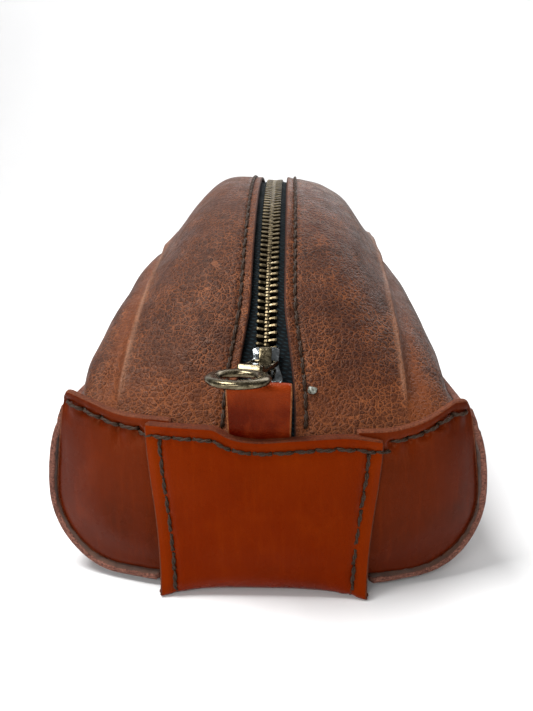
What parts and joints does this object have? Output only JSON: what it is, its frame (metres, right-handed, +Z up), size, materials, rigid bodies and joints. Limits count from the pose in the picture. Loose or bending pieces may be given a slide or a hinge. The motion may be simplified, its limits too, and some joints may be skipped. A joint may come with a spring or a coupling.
{
  "type": "leather shaving kit bag",
  "caption": "Zipped leather wash bag: pebbled upper with an arched zip on a boat-shaped smooth leather base, folded zip tabs and a ring pull.",
  "frame": {"origin": "middle of the flat underside, on the surface the bag stands on", "axes": "+Z up, +Y along the bag from the end where the slider parks when shut to the other end, +X to the right seen from that near end"},
  "size_m": [0.125, 0.2679, 0.1112],
  "materials": {
    "pebbled_leather": "waxed pebbled leather with lighter worn veins",
    "smooth_leather": "smooth dark reddish-brown leather, satin",
    "wing_leather": "smooth dark reddish-brown leather, satin",
    "strap_leather": "smooth glossy tan-brown leather",
    "tab_leather": "smooth glossy red-brown leather",
    "zip_tape": "near-black woven tape",
    "zip_metal": "antique brass",
    "slider_metal": "dark antique brass, polished",
    "thread": "twisted waxed dark-brown thread"
  },
  "bodies": {
    "root": {"base_wrap": "smooth_leather", "centre_strap": "strap_leather", "near_wing_right": "wing_leather", "near_wing_left": "wing_leather", "far_wing_right": "wing_leather", "far_wing_left": "wing_leather", "near_zip_tab": "tab_leather", "far_zip_tab": "tab_leather", "right_panel_ends": "pebbled_leather", "right_zip_tape_ends": "zip_tape", "right_zip_teeth_ends": "zip_metal", "right_zip_seam_thread_ends": "thread", "right_strap_thread": "thread", "right_side_seam_thread": "thread", "left_panel_ends": "pebbled_leather", "left_zip_tape_ends": "zip_tape", "left_zip_teeth_ends": "zip_metal", "left_zip_seam_thread_ends": "thread", "left_strap_thread": "thread", "left_side_seam_thread": "thread", "near_seam_thread": "thread", "far_seam_thread": "thread", "near_flange_thread": "thread", "far_flange_thread": "thread", "zip_top_stops": "zip_metal", "zip_bottom_stop": "zip_metal"},
    "mouth_right": {"right_panel_mouth": "pebbled_leather", "right_zip_tape_mouth": "zip_tape", "right_zip_teeth_mouth": "zip_metal", "right_zip_seam_thread_mouth": "thread"},
    "mouth_left": {"left_panel_mouth": "pebbled_leather", "left_zip_tape_mouth": "zip_tape", "left_zip_teeth_mouth": "zip_metal", "left_zip_seam_thread_mouth": "thread"},
    "slider": {"slider_body": "slider_metal", "slider_crown": "slider_metal", "slider_lock_pin": "slider_metal"},
    "pull": {"zip_pull": "slider_metal"}
  },
  "joints": [
    {"name": "slider_travel", "type": "hinge", "parent": "root", "child": "slider", "pos_m": [0, 0, -0.0352], "axis": [-1, 0, 0], "range_deg": [0, 97], "deforming": ["right_zip_teeth_ends", "right_zip_teeth_mouth", "left_zip_teeth_ends", "left_zip_teeth_mouth"]},
    {"name": "pull_flip", "type": "hinge", "parent": "slider", "child": "pull", "pos_m": [0, -0.11136, 0.06229], "axis": [-0.9613, 0.2756, 0], "range_deg": [0, 78]},
    {"name": "mouth_right_swing", "type": "hinge", "parent": "root", "child": "mouth_right", "pos_m": [0.0571, 0, 0.0506], "axis": [0, 1, 0], "range_deg": [0, 17]},
    {"name": "mouth_left_swing", "type": "hinge", "parent": "root", "child": "mouth_left", "pos_m": [-0.0571, 0, 0.0506], "axis": [0, -1, 0], "range_deg": [0, 17]}
  ],
  "couplings": [
    {"joint": "mouth_left_swing", "follows": "mouth_right_swing", "ratio": 1}
  ]
}
